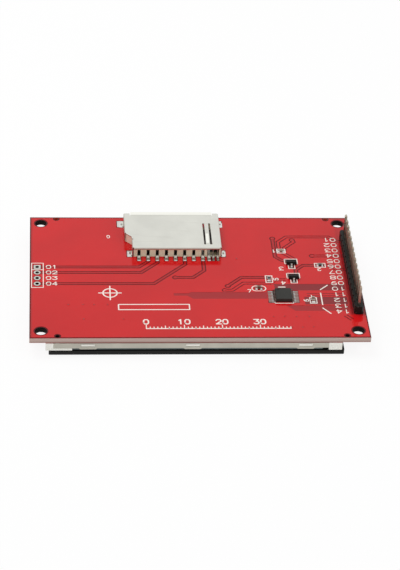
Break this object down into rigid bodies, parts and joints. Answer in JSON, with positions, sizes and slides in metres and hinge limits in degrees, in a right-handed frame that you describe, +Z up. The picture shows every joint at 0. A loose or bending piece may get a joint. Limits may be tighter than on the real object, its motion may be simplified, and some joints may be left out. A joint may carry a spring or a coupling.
{
  "type": "tft display module",
  "caption": "Flat colour display on a red circuit board, with a touch panel in front, a memory card socket and a row of header pins behind.",
  "frame": {"origin": "middle of the display face, on which the part lies", "axes": "+X along the board towards the header, +Y across it towards the card socket mouth, +Z up through the board, so the display looks down"},
  "size_m": [0.0892, 0.055, 0.0143],
  "materials": {
    "red_laminate": "glass-epoxy laminate with glossy red lacquer, pale cut edges",
    "lacquered_copper": "copper layer under glossy red lacquer",
    "tinned_lands": "tinned copper lands, satin",
    "breakout_tin": "tinned rings and plated holes, bright",
    "shell_steel": "nickel-plated stamped steel, satin",
    "socket_nylon": "beige heat-resistant moulding",
    "contact_gold": "pale gold flash on spring bronze",
    "leaf_bronze": "spring bronze, satin",
    "strip_black": "black moulded strip, satin",
    "pin_gold": "gold-plated square pins",
    "solder": "bright solder cones",
    "package_black": "moulded epoxy package, fine matte grain",
    "lead_tin": "matte tin leads",
    "resistor_black": "black glaze on a ceramic chip",
    "capacitor_brown": "brown ceramic chip",
    "chip_tin": "tinned end caps",
    "back_steel": "thin folded steel sheet, satin",
    "frame_white": "white moulded frame",
    "reflector_white": "white reflecting sheet",
    "guide_clear": "clear moulded light guide",
    "film_white": "milky diffusing sheet",
    "film_prism": "clear sheet with fine prisms",
    "flex_amber": "amber polyimide over copper",
    "led_yellow": "white diode package with yellow window",
    "tape_black": "black adhesive tape",
    "polariser_dark": "dark polarising film, clear gloss",
    "panel_glass": "thin greenish display glass",
    "driver_silicon": "bare dark silicon strip",
    "foam_black": "dark foam tape",
    "gasket_black": "black gasket tape",
    "touch_glass": "dark glass with clear edge",
    "touch_film": "smooth dark film with a black border"
  },
  "bodies": {
    "root": {"circuit_board": "red_laminate", "copper_layer": "lacquered_copper", "solder_lands": "tinned_lands", "breakout_lands": "breakout_tin", "socket_shell": "shell_steel", "socket_housing": "socket_nylon", "socket_contacts": "contact_gold", "socket_switch_leaves": "leaf_bronze", "header_strip": "strip_black", "header_pins": "pin_gold", "header_solder": "solder", "touch_controller": "package_black", "touch_controller_leads": "lead_tin", "regulator": "package_black", "regulator_leads": "lead_tin", "transistor": "package_black", "transistor_leads": "lead_tin", "resistor_bodies": "resistor_black", "resistor_terminals": "chip_tin", "capacitor_bodies": "capacitor_brown", "capacitor_terminals": "chip_tin", "back_frame": "back_steel", "light_frame": "frame_white", "reflector": "reflector_white", "light_guide": "guide_clear", "diffuser_film": "film_white", "lower_prism_film": "film_prism", "upper_prism_film": "film_prism", "backlight_flex": "flex_amber", "backlight_leds": "led_yellow", "rim_tape": "tape_black", "lower_polariser": "polariser_dark", "tft_glass": "panel_glass", "filter_glass": "panel_glass", "upper_polariser": "polariser_dark", "driver_chip": "driver_silicon", "display_flex": "flex_amber", "display_flex_solder": "solder", "foam_tapes": "foam_black", "touch_gasket": "gasket_black", "touch_glass": "touch_glass", "touch_spacer": "tape_black", "touch_film": "touch_film", "touch_tail": "flex_amber"}
  },
  "joints": []
}
